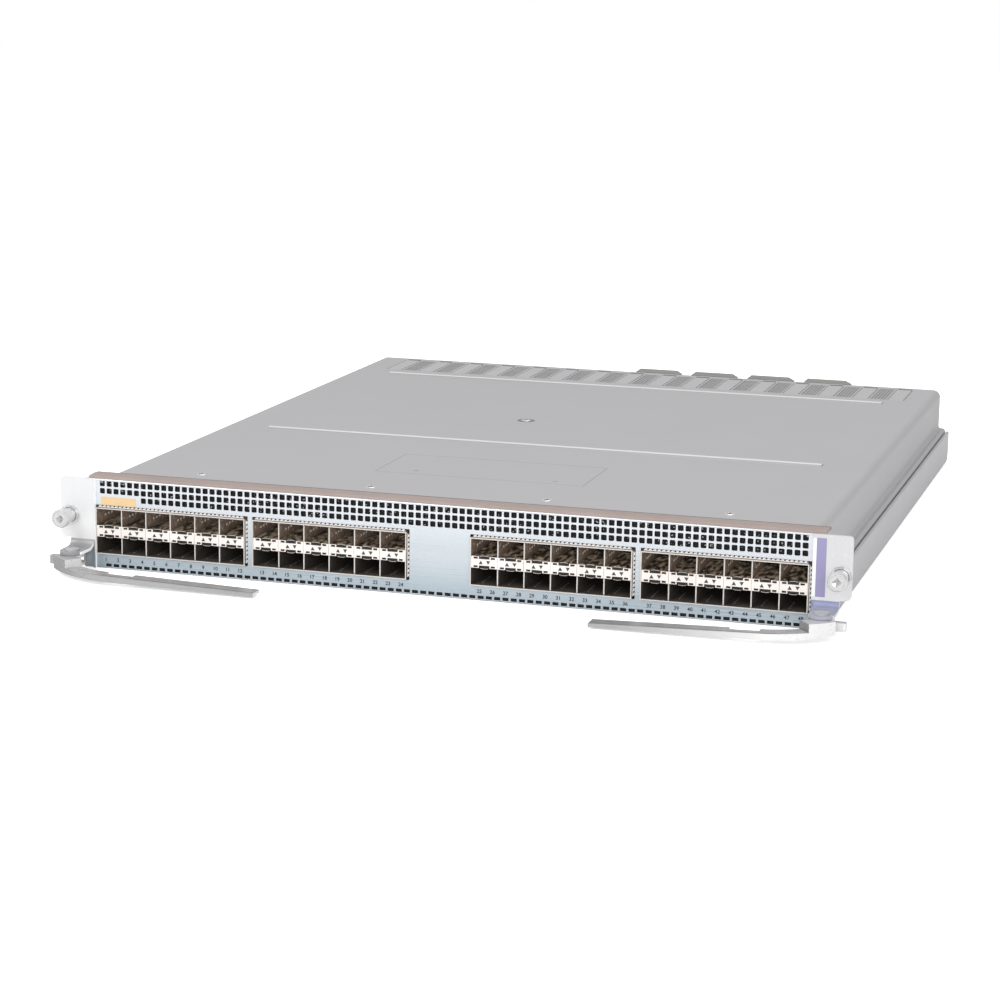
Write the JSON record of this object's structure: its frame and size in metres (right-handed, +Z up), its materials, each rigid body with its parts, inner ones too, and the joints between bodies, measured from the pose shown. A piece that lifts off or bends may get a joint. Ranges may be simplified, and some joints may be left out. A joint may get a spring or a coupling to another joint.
{
  "type": "switch line card",
  "caption": "Sheet-metal switch line card with a perforated faceplate, ganged stacked transceiver cages, ejector levers and captive screws.",
  "frame": {"origin": "on the underside, below the centre of the whole card's outline", "axes": "+Z up from the underside, +Y from the faceplate back to the connectors, +X to the right seen from the front"},
  "size_m": [0.4328, 0.522, 0.0512],
  "materials": {
    "zinc_plated_sheet": "bright blue-white zinc plate with a fine grain",
    "galvanised_sheet": "matt zinc-coated steel",
    "painted_cover": "matt pre-coated steel",
    "bracket_metal": "pale satin plated steel",
    "lever_metal": "satin plated steel",
    "bright_screw": "bright nickel",
    "spring_steel": "bright wire",
    "cage_metal": "tin-plated stamped sheet",
    "indicator_plastic": "pale moulded plastic",
    "connector_plastic": "black moulded plastic",
    "conductive_fabric": "copper-toned conductive cloth over foam",
    "circuit_board": "green solder mask over glass laminate",
    "chip_package": "black moulded package",
    "module_case": "plain aluminium case",
    "sink_aluminium": "extruded aluminium",
    "spacer_metal": "nickel-plated brass"
  },
  "bodies": {
    "card": {"backplane_connector_1": "connector_plastic", "backplane_connector_2": "connector_plastic", "backplane_connector_3": "connector_plastic", "backplane_connector_4": "connector_plastic", "base_tray": "galvanised_sheet", "board_standoffs": "spacer_metal", "bulk_capacitors": "chip_package", "cage_dividers_1": "cage_metal", "cage_dividers_2": "cage_metal", "cage_dividers_3": "cage_metal", "cage_dividers_4": "cage_metal", "cage_gaskets": "cage_metal", "control_board": "circuit_board", "control_board_posts": "spacer_metal", "control_chip": "chip_package", "cover_posts": "spacer_metal", "cover_screws": "bright_screw", "fabric_chip": "chip_package", "fabric_heat_sink": "sink_aluminium", "faceplate": "zinc_plated_sheet", "forwarding_chips": "chip_package", "guide_sockets": "connector_plastic", "heat_sinks": "sink_aluminium", "indicator_bands_1": "indicator_plastic", "indicator_bands_2": "indicator_plastic", "indicator_bands_3": "indicator_plastic", "indicator_bands_4": "indicator_plastic", "left_end_bracket": "bracket_metal", "left_screw_spring": "spring_steel", "main_circuit_board": "circuit_board", "memory_chips": "chip_package", "pivot_pins": "bright_screw", "port_cage_1": "cage_metal", "port_cage_2": "cage_metal", "port_cage_3": "cage_metal", "port_cage_4": "cage_metal", "port_connectors": "connector_plastic", "power_converters": "module_case", "power_socket": "connector_plastic", "rear_panel": "galvanised_sheet", "right_end_bracket": "bracket_metal", "right_screw_spring": "spring_steel", "screw_sleeves": "bright_screw", "top_cover": "painted_cover", "top_gasket": "conductive_fabric"},
    "left_lever": {"left_ejector_lever": "lever_metal"},
    "right_lever": {"right_ejector_lever": "lever_metal"},
    "left_screw_slider": {"left_screw_washer": "bright_screw"},
    "right_screw_slider": {"right_screw_washer": "bright_screw"},
    "left_screw": {"left_captive_screw": "bright_screw"},
    "right_screw": {"right_captive_screw": "bright_screw"}
  },
  "joints": [
    {"name": "left_lever_hinge", "type": "hinge", "parent": "card", "child": "left_lever", "pos_m": [-0.2038, -0.238, 0.0103], "axis": [0, 0, -1], "range_deg": [0, 65]},
    {"name": "left_screw_press", "type": "slide", "parent": "card", "child": "left_screw_slider", "axis": [0, 1, 0], "range_m": [0, 0.004], "stiffness_N_per_m": 300, "deforming": ["left_screw_spring"]},
    {"name": "left_screw_turn", "type": "hinge", "parent": "left_screw_slider", "child": "left_screw", "pos_m": [-0.2107, -0.2384, 0.02875], "axis": [0, 1, 0], "continuous": true},
    {"name": "right_lever_hinge", "type": "hinge", "parent": "card", "child": "right_lever", "pos_m": [0.2038, -0.238, 0.0103], "axis": [0, 0, 1], "range_deg": [0, 65]},
    {"name": "right_screw_press", "type": "slide", "parent": "card", "child": "right_screw_slider", "axis": [0, 1, 0], "range_m": [0, 0.004], "stiffness_N_per_m": 300, "deforming": ["right_screw_spring"]},
    {"name": "right_screw_turn", "type": "hinge", "parent": "right_screw_slider", "child": "right_screw", "pos_m": [0.2107, -0.2384, 0.02875], "axis": [0, 1, 0], "continuous": true}
  ]
}
